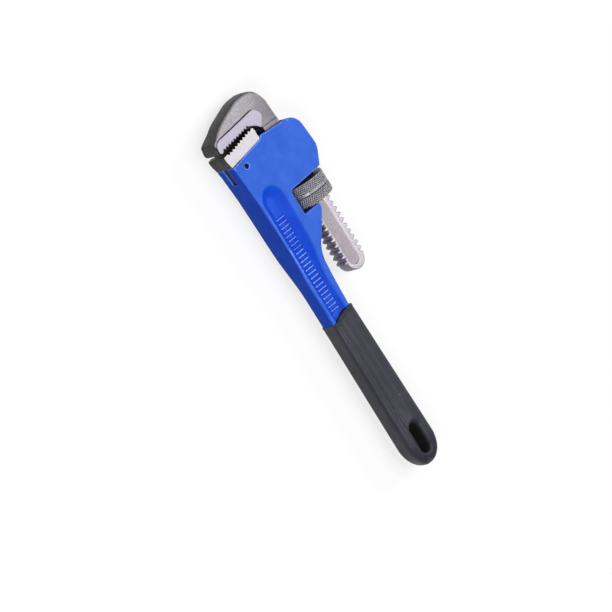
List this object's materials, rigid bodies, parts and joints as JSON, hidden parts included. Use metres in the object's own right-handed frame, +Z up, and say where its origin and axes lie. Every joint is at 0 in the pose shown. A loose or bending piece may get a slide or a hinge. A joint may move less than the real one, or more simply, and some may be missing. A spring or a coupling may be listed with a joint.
{
  "type": "pipe wrench",
  "caption": "Straight pipe wrench with a heel jaw, a hook jaw on a flat threaded shank, a knurled nut and a dipped grip with a hang slot.",
  "frame": {"origin": "under the middle of the wrench's box, at the height of the nut's lowest line, with the wrench on its side", "axes": "+Y from the grip to the head, +Z up through the flat side, -X towards the mouth"},
  "size_m": [0.0742, 0.2994, 0.0325],
  "materials": {
    "enamel": "glossy blue enamel on a casting",
    "vinyl": "matte dipped vinyl",
    "heel_steel": "ground bright steel",
    "dark_steel": "blackened steel",
    "forged_steel": "forged steel, part ground",
    "nut_steel": "turned and knurled steel",
    "spring_steel": "spring steel"
  },
  "bodies": {
    "frame": {"handle": "enamel", "grip": "vinyl", "heel_jaw": "heel_steel", "heel_jaw_pin": "dark_steel", "coil_spring": "spring_steel"},
    "rocker": {"flat_spring": "spring_steel", "spring_stud": "spring_steel"},
    "hook": {"hook_jaw": "forged_steel"},
    "nut": {"adjusting_nut": "nut_steel"}
  },
  "joints": [
    {"name": "jaw_rock", "type": "hinge", "parent": "frame", "child": "rocker", "pos_m": [0.01662, 0.06325, 0.01625], "axis": [0, 0, 1], "range_deg": [0, 1.3], "stiffness_Nm_per_rad": 6, "springref_deg": -1.15, "deforming": ["coil_spring"]},
    {"name": "jaw_slide", "type": "slide", "parent": "rocker", "child": "hook", "axis": [0, 1, 0], "range_m": [0, 0.048]},
    {"name": "nut_spin", "type": "hinge", "parent": "rocker", "child": "nut", "pos_m": [0.01662, 0.06325, 0.01625], "axis": [0, 1, 0], "range_deg": [0, 3601]}
  ],
  "couplings": [
    {"joint": "nut_spin", "follows": "jaw_slide", "rad_per_m": 1309}
  ]
}
